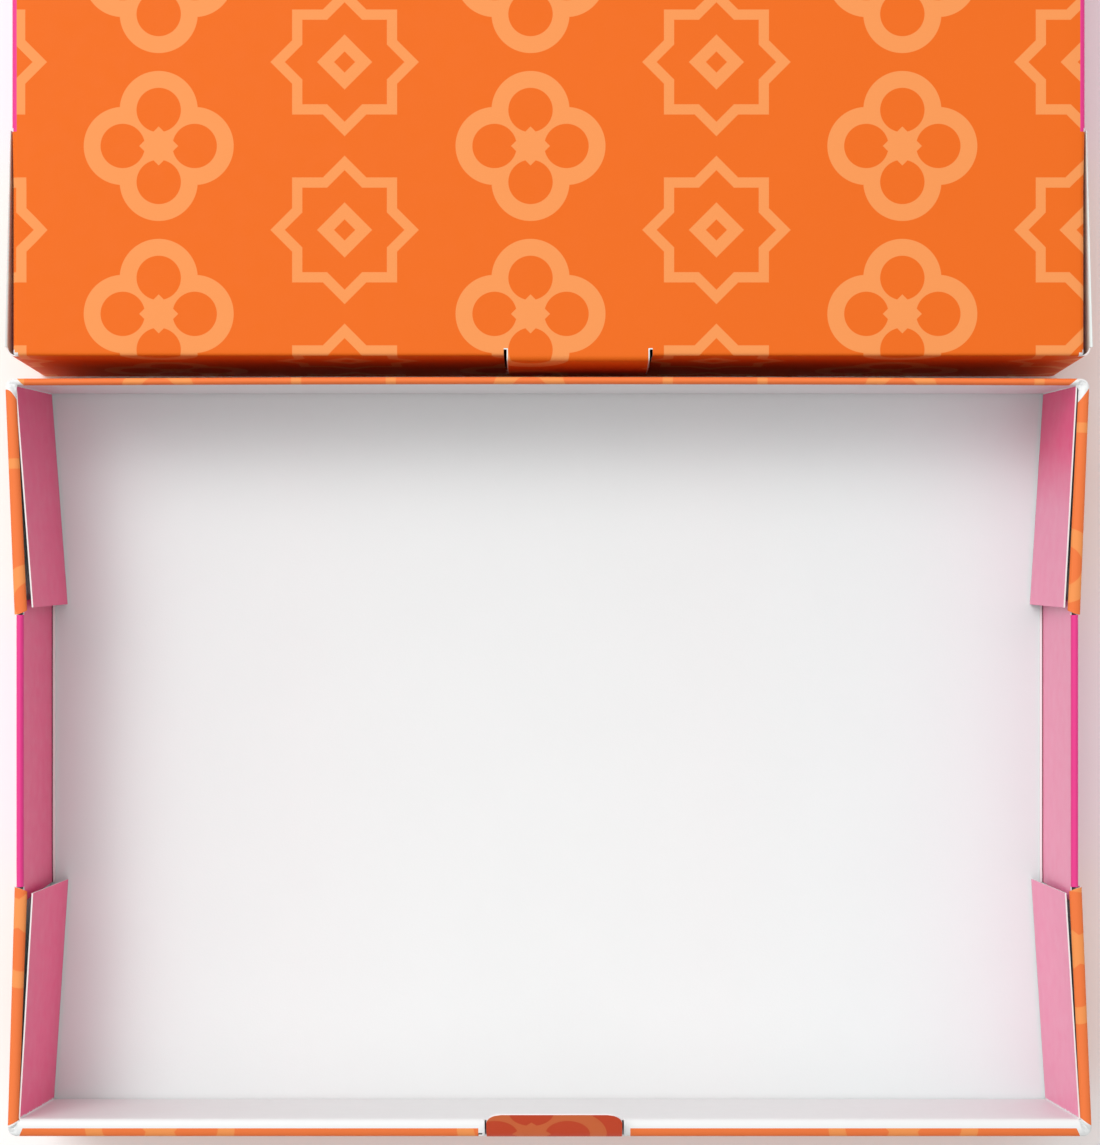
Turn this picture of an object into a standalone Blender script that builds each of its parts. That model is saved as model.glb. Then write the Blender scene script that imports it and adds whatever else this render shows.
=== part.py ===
"""Two-piece doughnut carton of folded paperboard, empty: the open base and, lying behind it, its lid.

Each piece is one sheet, cut flat, folded and locked, so each is one solid: its middle surface is laid out
panel by panel and then given the board's thickness. Metres, +X right, +Y back, +Z up. The origin is the
centre of the base's underside.
"""

import math

import bmesh
import bpy
from mathutils import Vector

# Board
BOARD = 0.0005  # thickness of the paperboard
LAYER_GAP = 0.00025  # air between two layers that lie side by side
HALF = BOARD / 2

# Base, over its outer faces
BASE_LONG = 0.3546
BASE_DEEP = 0.253
BASE_TALL = 0.060
CORNER_NICK = 0.0012  # corner of the floor cut away, so that two walls never share it

# Rolled rims: the sheet turns over at the top and comes down inside as a second wall
FRONT_ROLL = 0.0058
BACK_ROLL = 0.0023
SIDE_ROLL = 0.0025
ROLL_RISE = 0.0012  # height of the roll above the wall's straight part
ROLL_STEPS = 5
LINING_HALF = 0.1763  # half length of the front and back linings at the foot
LINING_LEAN = 0.0007  # how much further out their ends are at the top
LINING_FOOT = 0.0006  # air under the linings' lower edges

# Side walls: only the middle stretch rolls over, the rest is lower and stands inside the corner flaps
SIDE_ROLL_FRONT = -0.0432
SIDE_ROLL_BACK = 0.0476
SIDE_LOW = 0.0565
SIDE_FLARE = 0.0010  # how far their top corners lean out

# Corner flaps outside the side walls, with a hem turned in along the top
CORNER_FLAP_OUT = 0.18075  # half distance between them at the corners
CORNER_FLAP_IN = 0.1777  # and at their free ends
CORNER_ROUND = 0.00275  # radius of the bend from the end wall into the flap
CORNER_STEPS = 3
HEM_WIDTH = 0.0036
HEM_SLANT = {-1: 0.0024, 1: 0.0036}  # how much later its inner edge begins, at the front and back
HEM_ROUND = 0.0012  # how much earlier its inner edge ends
HEM_STEPS = 5

# Corner flaps inside, on the ends of the linings
INNER_FLAP = {-1: (0.0758, 0.0786), 1: (0.0745, 0.0752)}  # lengths at top and foot, at the front and back
INNER_FLAP_TURN = math.radians(3.9)  # how far they swing in from the side walls

# Tongue on the front wall, in a gap in the rolled rim
TONGUE_MID = 0.00155
TONGUE_WIDE = 0.0451
TONGUE_GAP = 0.0465
TONGUE_REACH = 0.0144  # along the board, from the wall's top to the free edge
TONGUE_RADIUS = 0.005  # it bends in by TONGUE_LEAN and is straight past that
TONGUE_LEAN = math.radians(47)
TONGUE_CORNER = 0.005
TONGUE_STEPS = 14

# Lid, over its outer faces
LID_LONG = 0.3582
LID_DEEP = 0.255
LID_TALL = 0.060
LID_MID = 0.0005  # it lies this much to the right of the base
LID_BEHIND = 0.0075  # air between the base's back wall and the lid's front wall
LID_FLAP = 0.075
LID_FLAP_OUT = 0.1810
LID_FLAP_IN = 0.1797
LID_FLAP_LOW = 0.0022  # how far the lid's corner flaps end below its top
LID_CURL_OUT = 0.0008  # their top edges curl out, most at the corner
LID_CURL_END = 0.0002
LID_CURL_UP = 0.0007
LID_ROUND = 0.0027

# Lock tab: runs from the lid's top down over its front wall and into a slit
LOCK_MID = 0.0099  # from the middle of the lid
LOCK_WIDE = 0.0477
LOCK_NOTCH = 0.0012  # width of the cut at each side of the tab
LOCK_NOTCH_DEEP = 0.0024  # how far the cut runs into the top panel
LOCK_BRIDGE = 0.004  # board left between the lower ends of the cuts and the slit
LOCK_PROUD = 0.0017  # how far the tab stands in front of the wall
LOCK_DOWN = 0.038  # from the lid's top to the slit
LOCK_SLIT = 0.0036  # height of the slit
LOCK_TAPER = 0.005  # how much each side of the tab draws in below the slit
LOCK_TIP = 0.009  # what is tucked in behind the wall

BOARD_WHITE = (0.86, 0.86, 0.85, 1.0)
PRINT_ORANGE = (0.90, 0.20, 0.035, 1.0)

BOTTOM = HALF
TOP = BASE_TALL - HALF
SHOULDER = TOP - ROLL_RISE
WALL_X = BASE_LONG / 2 - HALF
WALL_Y = BASE_DEEP / 2 - HALF
LAYER = BOARD + LAYER_GAP
ROLL_END = CORNER_FLAP_OUT - CORNER_ROUND  # half length of the front and back rolls at their outer edge


def clear_scene():
    for thing in list(bpy.data.objects):
        bpy.data.objects.remove(thing, do_unlink=True)


def board_material(name, colour, roughness):
    material = bpy.data.materials.new(name)
    material.use_nodes = True
    shader = material.node_tree.nodes["Principled BSDF"]
    shader.inputs["Base Color"].default_value = colour
    shader.inputs["Roughness"].default_value = roughness
    shader.inputs["Metallic"].default_value = 0.0
    return material


def with_points_between(outline, points):
    """The outline, with every point that lies on one of its edges put in, so that neighbours join there."""
    full = []
    for a, b in zip(outline, outline[1:] + outline[:1]):
        full.append(a)
        along = b - a
        length = along.length
        inside = []
        for p in points:
            t = (p - a).dot(along) / length
            if 1e-5 < t < length - 1e-5 and (p - a - along * (t / length)).length < 1e-6:
                inside.append((t, p))
        inside.sort(key=lambda pair: pair[0])
        for t, p in inside:
            if (p - full[-1]).length > 1e-6:
                full.append(p)
    return full


def folded_sheet(name, panels, material):
    """One object from the flat panels of a folded sheet, joined at their creases, with the board's thickness."""
    points = [p for panel in panels for p in panel]
    mesh = bpy.data.meshes.new(name)
    sheet = bmesh.new()
    for panel in panels:
        sheet.faces.new([sheet.verts.new(p) for p in with_points_between(panel, points)])
    bmesh.ops.remove_doubles(sheet, verts=sheet.verts, dist=2e-6)
    bmesh.ops.recalc_face_normals(sheet, faces=sheet.faces)
    sheet.to_mesh(mesh)
    sheet.free()
    mesh.materials.append(material)
    thing = bpy.data.objects.new(name, mesh)
    bpy.context.scene.collection.objects.link(thing)
    board = thing.modifiers.new("board", "SOLIDIFY")
    board.thickness = BOARD
    board.offset = 0.0
    board.use_even_offset = True
    return thing


def roll_profile(width, rise, steps):
    """(inward, up) along a rolled edge: half an ellipse, width across and rise high."""
    turns = [math.pi * k / steps for k in range(steps + 1)]
    return [(width / 2 * (1 - math.cos(a)), rise * math.sin(a)) for a in turns]


def strips(rows):
    """Panels between each row of points and the next, all rows running the same way."""
    return [[a[0], a[1], b[1], b[0]] for a, b in zip(rows, rows[1:])]


def bend(corner, radius, right, back, steps):
    """Points round a bend of 90 degrees inside a corner, in plan, from the end wall to the flap."""
    centre = corner - Vector((right * radius, back * radius, 0.0))
    turns = [math.pi / 2 * k / steps for k in range(steps + 1)]
    return [centre + Vector((right * math.sin(a), back * math.cos(a), 0.0)) * radius for a in turns]


def base_floor():
    x, y = WALL_X, WALL_Y
    n = CORNER_NICK
    corners = [(-x, -y + n), (-x + n, -y), (x - n, -y), (x, -y + n)]
    corners += [(x, y - n), (x - n, y), (-x + n, y), (-x, y - n)]
    return [Vector((u, v, BOTTOM)) for u, v in corners]


def end_wall(back, roll, gap):
    """Front (back=-1) or back (+1) wall: outer panel, rolled rim and lining. gap is the rim's break, or None."""
    y = back * WALL_Y
    low = WALL_X - CORNER_NICK
    outline = [(-low, BOTTOM), (low, BOTTOM), (ROLL_END, BOTTOM), (ROLL_END, SHOULDER)]
    outline += [(-ROLL_END, SHOULDER), (-ROLL_END, BOTTOM)]
    panels = [[Vector((x, y, z)) for x, z in outline]]
    top = LINING_HALF + LINING_LEAN
    breaks = [-1.0, *gap, 1.0] if gap else [-1.0, 1.0]
    profile = roll_profile(roll - BOARD, ROLL_RISE, ROLL_STEPS)
    for left, right in zip(breaks[::2], breaks[1::2]):
        rows = []
        for inward, up in profile:
            reach = ROLL_END + (top - ROLL_END) * inward / (roll - BOARD)
            ends = [max(left, -reach), min(right, reach)]
            rows.append([Vector((x, y - back * inward, SHOULDER + up)) for x in ends])
        panels += strips(rows)
    top_y = y - back * (roll - BOARD)
    foot_y = y - back * LAYER
    foot_z = BOTTOM + BOARD + LINING_FOOT
    corners = [(-top, top_y, SHOULDER), (top, top_y, SHOULDER)]
    corners += [(LINING_HALF, foot_y, foot_z), (-LINING_HALF, foot_y, foot_z)]
    panels.append([Vector(corner) for corner in corners])
    return panels


def inner_flap(right, back, roll):
    """Flap on the right (+1) or left (-1) end of a lining, standing along the side wall."""
    top = Vector((right * (LINING_HALF + LINING_LEAN), back * (WALL_Y - roll + BOARD), SHOULDER))
    foot = Vector((right * LINING_HALF, back * (WALL_Y - LAYER), BOTTOM + BOARD + LINING_FOOT))
    along = Vector((-right * math.sin(INNER_FLAP_TURN), -back * math.cos(INNER_FLAP_TURN), 0.0))
    long_top, long_foot = INNER_FLAP[back]
    return [top, foot, foot + along * long_foot, top + along * long_top]


def corner_flap(right, back, free_end):
    """Flap on an end wall, bent round outside the side wall, and the hem along its top."""
    corner = Vector((right * CORNER_FLAP_OUT, back * WALL_Y, BOTTOM))
    path = bend(corner, CORNER_ROUND, right, back, CORNER_STEPS)
    start = path[-1]
    end = Vector((right * CORNER_FLAP_IN, free_end, BOTTOM))
    along = (end - start).normalized()
    inward = Vector((-right, 0.0, 0.0))
    inward = (inward - along * inward.dot(along)).normalized()
    up = Vector((0.0, 0.0, SHOULDER - BOTTOM))
    path.append(end)
    panels = [[a, b, b + up, a + up] for a, b in zip(path, path[1:])]
    width = HEM_WIDTH - BOARD
    rows = []
    for across, rise in roll_profile(width, ROLL_RISE, HEM_STEPS):
        share = across / width
        lift = up + Vector((0.0, 0.0, rise)) + inward * across
        first = start + along * (HEM_SLANT[back] * share**1.5)
        last = end - along * (HEM_ROUND * share**2)
        rows.append([first + lift, last + lift])
    return panels + strips(rows)


def side_wall(right):
    """Side wall: low beside the corner flaps, rolled over and lined in its middle stretch."""
    x = right * WALL_X
    reach = WALL_Y - CORNER_NICK
    ends = (SIDE_ROLL_FRONT, SIDE_ROLL_BACK)
    outline = [(SIDE_ROLL_FRONT, BOTTOM), (SIDE_ROLL_BACK, BOTTOM), (SIDE_ROLL_BACK, SIDE_LOW)]
    outline += [(SIDE_ROLL_BACK, SHOULDER), (SIDE_ROLL_FRONT, SHOULDER), (SIDE_ROLL_FRONT, SIDE_LOW)]
    panels = [[Vector((x, y, z)) for y, z in outline]]
    for near, far in zip(ends, (-reach, reach)):
        foot = Vector((x, near, BOTTOM))
        tip = Vector((x + right * SIDE_FLARE, far, SIDE_LOW))
        panels += [[foot, Vector((x, far, BOTTOM)), tip], [foot, tip, Vector((x, near, SIDE_LOW))]]
    rows = []
    for inward, up in roll_profile(SIDE_ROLL - BOARD, ROLL_RISE, ROLL_STEPS):
        rows.append([Vector((x - right * inward, y, SHOULDER + up)) for y in ends])
    foot_x = x - right * LAYER
    rows.append([Vector((foot_x, y, BOTTOM + BOARD + LINING_FOOT)) for y in ends])
    return panels + strips(rows)


def front_tongue():
    """Tongue that rises from the front wall and leans in over the rim, with round corners at its free end."""
    rows = []
    for k in range(TONGUE_STEPS + 1):
        far = TONGUE_REACH * k / TONGUE_STEPS
        turn = min(TONGUE_LEAN, far / TONGUE_RADIUS)
        straight = far - turn * TONGUE_RADIUS
        past = max(0.0, far - TONGUE_REACH + TONGUE_CORNER)
        half = TONGUE_WIDE / 2 - TONGUE_CORNER + math.sqrt(max(0.0, TONGUE_CORNER**2 - past**2))
        into = TONGUE_RADIUS * (1 - math.cos(turn)) + straight * math.sin(turn)
        up = TONGUE_RADIUS * math.sin(turn) + straight * math.cos(turn)
        rows.append([Vector((TONGUE_MID + s * half, into - WALL_Y, SHOULDER + up)) for s in (-1, 1)])
    return strips(rows)


def base_panels():
    gap = (TONGUE_MID - TONGUE_GAP / 2, TONGUE_MID + TONGUE_GAP / 2)
    panels = [base_floor()]
    panels += end_wall(-1, FRONT_ROLL, gap)
    panels += end_wall(1, BACK_ROLL, None)
    for right in (-1, 1):
        panels += side_wall(right)
        panels += corner_flap(right, -1, SIDE_ROLL_FRONT - LAYER_GAP)
        panels += corner_flap(right, 1, SIDE_ROLL_BACK + LAYER_GAP)
        panels.append(inner_flap(right, -1, FRONT_ROLL))
        panels.append(inner_flap(right, 1, BACK_ROLL))
    return panels + front_tongue()


LID_X = LID_LONG / 2 - HALF
LID_FRONT = BASE_DEEP / 2 + LID_BEHIND + HALF
LID_BACK = LID_FRONT + LID_DEEP - BOARD
LID_TOP = LID_TALL - HALF
LOCK_LEFT = LOCK_MID - LOCK_WIDE / 2
LOCK_RIGHT = LOCK_MID + LOCK_WIDE / 2


def lid_top():
    """Top panel, nicked in at the corners and beside the lock tab."""
    n = CORNER_NICK
    x, front, back = LID_X, LID_FRONT, LID_BACK
    deep = front + LOCK_NOTCH_DEEP
    corners = [(-x, front + n), (-x + n, front)]
    for inner, outer in ((LOCK_LEFT, LOCK_LEFT - LOCK_NOTCH), (LOCK_RIGHT, LOCK_RIGHT + LOCK_NOTCH)):
        cut = [(outer, front), (outer, deep), (inner, deep), (inner, front)]
        corners += cut if inner == LOCK_LEFT else cut[::-1]
    corners += [(x - n, front), (x, front + n), (x, back - n), (x - n, back)]
    corners += [(-x + n, back), (-x, back - n)]
    return [Vector((u, v, LID_TOP)) for u, v in corners]


def lid_end_wall(y, slit):
    """Front or back wall of the lid. slit makes the cuts beside the lock tab and the slit that its tip enters."""
    out = LID_FLAP_OUT - LID_ROUND
    step = LID_TOP - LID_FLAP_LOW
    crease = LID_X - CORNER_NICK
    left = [(-crease, LID_TOP), (-out, step), (-out, 0.0)]
    right = [(out, 0.0), (out, step), (crease, LID_TOP)]
    if not slit:
        return [[Vector((x, y, z)) for x, z in left + right]]
    upper = LID_TOP - LOCK_DOWN
    lower = upper - LOCK_SLIT
    a, b = LOCK_LEFT - LOCK_NOTCH, LOCK_RIGHT + LOCK_NOTCH
    free = LID_TOP - LOCK_NOTCH_DEEP
    bridge = upper + LOCK_BRIDGE
    behind = [(LOCK_LEFT, free), (LOCK_LEFT, bridge), (a, bridge), (a, upper)]
    behind += [(b, upper), (b, bridge), (LOCK_RIGHT, bridge), (LOCK_RIGHT, free)]
    around = [
        left + [(a, 0.0), (a, lower), (a, upper), (a, bridge), (a, LID_TOP)],
        behind,
        [(a, lower), (a, 0.0), (b, 0.0), (b, lower)],
        [(b, LID_TOP), (b, bridge), (b, upper), (b, lower), (b, 0.0)] + right,
    ]
    return [[Vector((x, y, z)) for x, z in outline] for outline in around]


def lock_tab():
    """Tab from the top panel: over the crease, down in front of the wall and through the slit."""
    wall = LID_FRONT
    slit = LID_TOP - LOCK_DOWN - LOCK_SLIT / 2
    half = LOCK_WIDE / 2
    path = [
        (wall, LID_TOP, half),
        (wall - LOCK_PROUD * 0.75, LID_TOP - LOCK_PROUD * 0.3, half),
        (wall - LOCK_PROUD, LID_TOP - LOCK_PROUD * 1.3, half),
        (wall - LOCK_PROUD, slit + LOCK_PROUD, half),
        (wall + LOCK_PROUD, slit - LOCK_PROUD * 0.4, half - LOCK_TAPER * 0.4),
        (wall + LOCK_PROUD, slit - LOCK_TIP, half - LOCK_TAPER),
    ]
    rows = [[Vector((LOCK_MID + s * w, y, z)) for s in (-1, 1)] for y, z, w in path]
    return strips(rows)


def lid_side_wall(right):
    x = right * LID_X
    front = LID_FRONT + CORNER_NICK
    back = LID_BACK - CORNER_NICK
    outline = [(front, LID_TOP), (back, LID_TOP), (back, 0.0), (front, 0.0)]
    return [Vector((x, y, z)) for y, z in outline]


def lid_corner_flap(right, wall, inward):
    """Flap on an end wall at y=wall, bent round outside the side wall, with its top edge curled out.
    inward is +1 at the front and -1 at the back."""
    up = Vector((0.0, 0.0, LID_TOP - LID_FLAP_LOW))
    path = bend(Vector((right * LID_FLAP_OUT, wall, 0.0)), LID_ROUND, right, -inward, CORNER_STEPS)
    path.append(Vector((right * LID_FLAP_IN, wall + inward * LID_FLAP, 0.0)))
    panels = [[a, b, b + up, a + up] for a, b in zip(path, path[1:])]
    start, end = path[-2] + up, path[-1] + up
    curl = [Vector((right * out, 0.0, LID_CURL_UP)) for out in (LID_CURL_OUT, LID_CURL_END)]
    return panels + [[start, end, start + curl[0]], [end, end + curl[1], start + curl[0]]]


def lid_panels():
    panels = [lid_top()]
    panels += lid_end_wall(LID_FRONT, True)
    panels += lid_end_wall(LID_BACK, False)
    for right in (-1, 1):
        panels.append(lid_side_wall(right))
        panels += lid_corner_flap(right, LID_FRONT, 1)
        panels += lid_corner_flap(right, LID_BACK, -1)
    beside = Vector((LID_MID, 0.0, 0.0))
    return [[p + beside for p in panel] for panel in panels + lock_tab()]


clear_scene()
folded_sheet("base", base_panels(), board_material("white_board", BOARD_WHITE, 0.55))
folded_sheet("lid", lid_panels(), board_material("orange_print", PRINT_ORANGE, 0.38))
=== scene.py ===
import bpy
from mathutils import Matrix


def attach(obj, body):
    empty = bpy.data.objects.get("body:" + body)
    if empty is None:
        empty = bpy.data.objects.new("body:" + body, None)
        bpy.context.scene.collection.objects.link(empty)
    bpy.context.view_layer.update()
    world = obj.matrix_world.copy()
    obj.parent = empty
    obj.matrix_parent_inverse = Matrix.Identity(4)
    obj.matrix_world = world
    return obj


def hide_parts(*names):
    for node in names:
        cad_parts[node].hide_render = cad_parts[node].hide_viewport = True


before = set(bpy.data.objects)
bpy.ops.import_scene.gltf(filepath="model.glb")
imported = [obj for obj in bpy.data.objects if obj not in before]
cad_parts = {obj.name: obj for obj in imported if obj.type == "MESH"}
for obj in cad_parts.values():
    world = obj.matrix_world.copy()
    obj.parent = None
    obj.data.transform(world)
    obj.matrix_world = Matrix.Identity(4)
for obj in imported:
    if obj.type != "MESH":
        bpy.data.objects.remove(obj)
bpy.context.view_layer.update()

import math

import bmesh
import bpy
from mathutils import Vector

# ---------------------------------------------------------------------------------------------------
# The table, the light and the camera. The carton lies on a plain white table and is seen from straight
# above. A large soft window stands high behind it to the left; the pale room is brighter on that side and
# overhead, and its front is dark near the ground.
TABLE_SIZE = 24.0
TABLE_WHITE = (0.97, 0.97, 0.97)
TABLE_ROUGHNESS = 0.8
TABLE_GLOSS = 0.2
CAMERA_PLACE = Vector((0.0009, 0.06175, 0.960))
CAMERA_LENS = 84.85
STUDIO_WHITE = (1.0, 0.995, 0.99)
WINDOW_PLACE = Vector((-0.95, 1.05, 2.15))
WINDOW_AIM = Vector((0.0, 0.06, 0.0))
WINDOW_SIZE = 1.2
WINDOW_WATTS = 28.5
WINDOW_SIDE = Vector((-0.68, 0.73, 0.0))
ROOM_LIGHT = 0.70
# heights below are of the direction that the light comes from: 0 at the horizon, 1 straight overhead
ROOM_OVERHEAD = 2.0  # times as bright overhead, above these heights
OVERHEAD_LOW, OVERHEAD_HIGH = 0.88, 0.93
ROOM_SLOPE = 0.38  # how much brighter on the window's side, low down and, past these heights, high up
ROOM_SLOPE_HIGH = 0.1
SLOPE_LOW, SLOPE_HIGH = 0.60, 0.80
GROUND_TILT = 0.35  # how much the dark near the ground leans up in front
GROUND_GLOW = 0.3  # height where that dark ends

scene = bpy.context.scene
scene.view_settings.view_transform = "Standard"
scene.view_settings.look = "None"

table_mesh = bpy.data.meshes.new("table")
half_table = TABLE_SIZE / 2
table_corners = [(x * half_table, y * half_table, 0.0) for x, y in ((-1, -1), (1, -1), (1, 1), (-1, 1))]
table_mesh.from_pydata(table_corners, [], [(0, 1, 2, 3)])
table = bpy.data.objects.new("table", table_mesh)
scene.collection.objects.link(table)
table_paint = bpy.data.materials.new("table_white")
table_paint.use_nodes = True
table_shader = table_paint.node_tree.nodes["Principled BSDF"]
table_shader.inputs["Base Color"].default_value = (*TABLE_WHITE, 1)
table_shader.inputs["Roughness"].default_value = TABLE_ROUGHNESS
table_shader.inputs["Specular IOR Level"].default_value = TABLE_GLOSS
table_mesh.materials.append(table_paint)


def calc(tree, operation, *values):
    """A Math node; values are numbers or sockets."""
    node = tree.nodes.new("ShaderNodeMath")
    node.operation = operation
    for socket, value in zip(node.inputs, values):
        if isinstance(value, (int, float)):
            socket.default_value = value
        else:
            tree.links.new(value, socket)
    return node.outputs[0]


def ranged(tree, value, low, high, to_low, to_high):
    """The value taken from the range low to high over to the range to_low to to_high, and held there."""
    node = tree.nodes.new("ShaderNodeMapRange")
    tree.links.new(value, node.inputs["Value"])
    for name, number in (("From Min", low), ("From Max", high), ("To Min", to_low), ("To Max", to_high)):
        node.inputs[name].default_value = number
    return node.outputs["Result"]


world = bpy.data.worlds.new("studio")
world.use_nodes = True
room = world.node_tree
room.nodes["Background"].inputs["Color"].default_value = (*STUDIO_WHITE, 1)
direction = room.nodes.new("ShaderNodeTexCoord").outputs["Generated"]
split = room.nodes.new("ShaderNodeSeparateXYZ")
room.links.new(direction, split.inputs[0])
overhead = ranged(room, split.outputs[2], OVERHEAD_LOW, OVERHEAD_HIGH, 1.0, ROOM_OVERHEAD)
slope = ranged(room, split.outputs[2], SLOPE_LOW, SLOPE_HIGH, ROOM_SLOPE, ROOM_SLOPE_HIGH)
towards = calc(room, "MULTIPLY", split.outputs[0], WINDOW_SIDE.x)
towards = calc(room, "MULTIPLY_ADD", split.outputs[1], WINDOW_SIDE.y, towards)
towards = calc(room, "MULTIPLY", towards, slope)
raised = calc(room, "MULTIPLY_ADD", split.outputs[1], GROUND_TILT, split.outputs[2])
lit = ranged(room, raised, 0.0, GROUND_GLOW, 0.0, 1.0)
glow = calc(room, "MULTIPLY", calc(room, "ADD", towards, 1.0), lit)
glow = calc(room, "MULTIPLY", calc(room, "MAXIMUM", glow, 0.0), overhead)
room.links.new(calc(room, "MULTIPLY", glow, ROOM_LIGHT), room.nodes["Background"].inputs["Strength"])
scene.world = world

window_light = bpy.data.lights.new("window", "AREA")
window_light.shape = "RECTANGLE"
window_light.size = window_light.size_y = WINDOW_SIZE
window_light.energy = WINDOW_WATTS
window_light.color = STUDIO_WHITE
window = bpy.data.objects.new("window", window_light)
window.location = WINDOW_PLACE
window.rotation_mode = "QUATERNION"
window.rotation_quaternion = (WINDOW_AIM - WINDOW_PLACE).to_track_quat("-Z", "Y")
scene.collection.objects.link(window)

camera_data = bpy.data.cameras.new("camera")
camera_data.sensor_width = 36.0
camera_data.lens = CAMERA_LENS
camera = bpy.data.objects.new("camera", camera_data)
camera.location = CAMERA_PLACE
scene.collection.objects.link(camera)
scene.camera = camera

# ---------------------------------------------------------------------------------------------------
# The base's floor. Both pieces of the carton are folded from white paperboard half a millimetre thick,
# coated and printed on the outer side only. The floor is its middle panel, white on the side that shows.
BOARD = 0.0005
HALF = BOARD / 2
BASE_LONG = 0.3546
BASE_DEEP = 0.253
BASE_TALL = 0.060
WALL_X = BASE_LONG / 2 - HALF
WALL_Y = BASE_DEEP / 2 - HALF
CREASE = 0.0006  # radius of an ordinary fold
NICK = 0.0012  # cut corner of the floor, where two folds would meet
SLACK = 1e-6  # how near two places have to be to count as one
TONGUE_MID = 0.00155
TONGUE_WIDE = 0.0451
TONGUE_FREE = 0.0007  # air at each side of the tongue
RIM_BREAK = 0.0269 - TONGUE_MID  # from the tongue's middle to where the front rim's ink ends
RIM_NICK = 0.0013  # a small tear in the rim there
ROLL_END = 0.1780  # half length of the front and back rims
RIM_STRAIGHT = 0.170  # as far as this the rims keep their length, whatever the corners do
SIDE_ROLL_FRONT = -0.0432
SIDE_ROLL_BACK = 0.0476

# Finishes of the printed side, in the order of the material slots
ORANGE, MAGENTA, WHITE, PINK = range(4)
FINISHES = 4


def steps(low, high, count):
    """The places from low to high, both kept, with that many even steps between them."""
    return [low + (high - low) * k / count for k in range(count + 1)]


def joined(*stretches):
    """One list from several that meet end to end."""
    full = list(stretches[0])
    for stretch in stretches[1:]:
        full += stretch[1:]
    return full


def within(values, j, low, high):
    """Whether the stretch from value j to the next lies between low and high."""
    return low - SLACK < values[j] and values[j + 1] < high + SLACK


def new_sheet():
    sheet = bmesh.new()
    sheet.loops.layers.uv.new("blank")
    return sheet


def lay(sheet, rows, flat, finish):
    """A panel between rows of points. flat is where the points lie in the unfolded sheet. finish is a
    number, or a function of row and column that gives None where the panel is cut away."""
    uv = sheet.loops.layers.uv["blank"]
    made = [[sheet.verts.new(p) for p in row] for row in rows]
    for i in range(len(rows) - 1):
        for j in range(len(rows[i]) - 1):
            index = finish(i, j) if callable(finish) else finish
            if index is None:
                continue
            ring = ((i, j), (i, j + 1), (i + 1, j + 1), (i + 1, j))
            face = sheet.faces.new([made[a][b] for a, b in ring])
            face.smooth = True
            face.material_index = index
            for loop, (a, b) in zip(face.loops, ring):
                loop[uv].uv = flat[a][b]


floor_right = WALL_X - NICK
floor_back = WALL_Y - NICK
tongue_left, tongue_right = TONGUE_MID - TONGUE_WIDE / 2, TONGUE_MID + TONGUE_WIDE / 2
hole_left, hole_right = tongue_left - TONGUE_FREE, tongue_right + TONGUE_FREE
break_left, break_right = TONGUE_MID - RIM_BREAK, TONGUE_MID + RIM_BREAK
across = joined(
    steps(-floor_right, -RIM_STRAIGHT, 2),
    steps(-RIM_STRAIGHT, break_left, 24),
    [break_left, break_left + RIM_NICK, hole_left, tongue_left],
    steps(tongue_left, tongue_right, 12),
    [tongue_right, hole_right, break_right - RIM_NICK, break_right],
    steps(break_right, RIM_STRAIGHT, 24),
    steps(RIM_STRAIGHT, floor_right, 2),
)
along = joined(
    steps(-floor_back, SIDE_ROLL_FRONT, 14),
    steps(SIDE_ROLL_FRONT, SIDE_ROLL_BACK, 14),
    steps(SIDE_ROLL_BACK, floor_back, 14),
)
base_sheet = new_sheet()
floor_xs = [-WALL_X + CREASE, *across, WALL_X - CREASE]
floor_ys = [-WALL_Y + CREASE, *along, WALL_Y - CREASE]


def floor_finish(i, j):
    corner = i in (0, len(floor_ys) - 2) and j in (0, len(floor_xs) - 2)
    return None if corner else ORANGE


lay(
    base_sheet,
    [[Vector((x, y, HALF)) for x in floor_xs] for y in floor_ys],
    [[(x, y) for x in floor_xs] for y in floor_ys],
    floor_finish,
)

# ---------------------------------------------------------------------------------------------------
# Front and back walls of the base. Each is the outer panel, printed orange, which turns over in a
# rolled rim and comes down inside as a white lining. The rims' ends are crushed down into the corners,
# the front rim is open behind the tongue, and pink flaps on the linings' ends stand along the sides.
ROLL_RISE = 0.0012
SHOULDER = BASE_TALL - HALF - ROLL_RISE
FRONT_ROLL = 0.0058
BACK_ROLL = 0.0023
LINING_HALF = 0.1763
LINING_CREASE = 0.0005
LINING_FOOT = HALF + BOARD + 0.0006  # the linings end this high, clear of the floor
LAYER = BOARD + 0.00025  # from the middle of a wall to the middle of its lining, with a little air
INNER_FLAPS = {-1: (0.0752, 0.0780), 1: (0.0740, 0.0747)}  # lengths at top and foot, front and back
# by side and end: how far out the flap's top leans, and the degrees it swings in at its top and foot
INNER_PLACES = {
    (-1, -1): (0.0008, 3.85, 4.25),
    (-1, 1): (0.0012, 4.30, 4.30),
    (1, -1): (0.0007, 3.00, 3.15),
    (1, 1): (0.0005, 3.20, 3.60),
}
FLAP_FOLDS, FLAP_STEPS = 5, 12  # columns in an inner flap's fold and in the flap past it
RIM_INKED = 0.1771  # where the rims' ink ends
RIM_INK_SLANT = 0.0014
INK_FOLLOW = ((1, 1.0), (2, 0.9), (3, 0.5))  # columns in from the rim's end, and their share of the slant
WALL_START = WALL_Y - CREASE + CREASE * math.pi / 2 - HALF - CREASE  # unfolded distance of height 0
WALL_LOWEST = 0.0003  # the walls' ends and the corner flaps stop here, just clear of the table


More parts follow.
